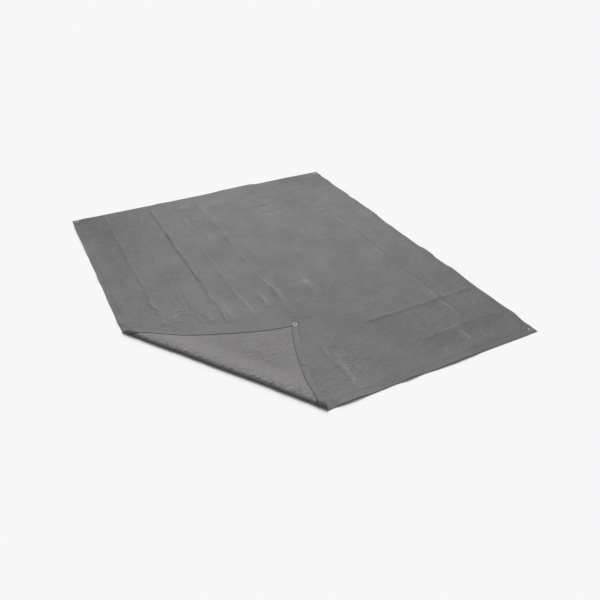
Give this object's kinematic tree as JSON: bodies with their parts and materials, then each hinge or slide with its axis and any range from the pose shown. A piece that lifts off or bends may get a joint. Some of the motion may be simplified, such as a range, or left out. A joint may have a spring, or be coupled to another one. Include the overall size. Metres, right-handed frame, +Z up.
{
  "type": "tarpaulin",
  "caption": "Flat rectangular grey woven tarpaulin with turned-under hems and a metal eyelet in each corner, one corner folded back to show the underside.",
  "frame": {"origin": "centre of the sheet's rectangular outline, on the surface that it lies on", "axes": "+Z up out of the sheet's top side, +Y along the long edges, +X along the short edges; the folded corner is at -X, -Y"},
  "size_m": [1.6, 2, 0.0206],
  "materials": {
    "cloth": "coated woven tape cloth, satin, mid grey, fine square weave",
    "hem": "the same cloth turned under and welded, satin",
    "strip": "darker grey stiffening strip, matt, embossed",
    "eyelet": "bright pressed aluminium, lightly brushed"
  },
  "bodies": {
    "sheet": {"main_sheet": "cloth", "fold_bend": "cloth", "hem_back": "hem", "hem_front": "hem", "hem_left": "hem", "hem_right": "hem", "strip_back_left": "strip", "strip_back_right": "strip", "strip_front_right": "strip", "eyelet_back_left": "eyelet", "eyelet_back_right": "eyelet", "eyelet_front_right": "eyelet", "washer_back_left": "eyelet", "washer_back_right": "eyelet", "washer_front_right": "eyelet"},
    "corner": {"corner_flap": "cloth", "flap_hem_front": "hem", "flap_hem_left": "hem", "strip_front_left": "strip", "eyelet_front_left": "eyelet", "washer_front_left": "eyelet"}
  },
  "joints": [
    {"name": "corner_fold", "type": "hinge", "parent": "sheet", "child": "corner", "pos_m": [-0.52734, -0.59118, 0.0037], "axis": [0.5658, -0.8246, 0], "range_deg": [0, 179], "deforming": ["fold_bend"]}
  ]
}
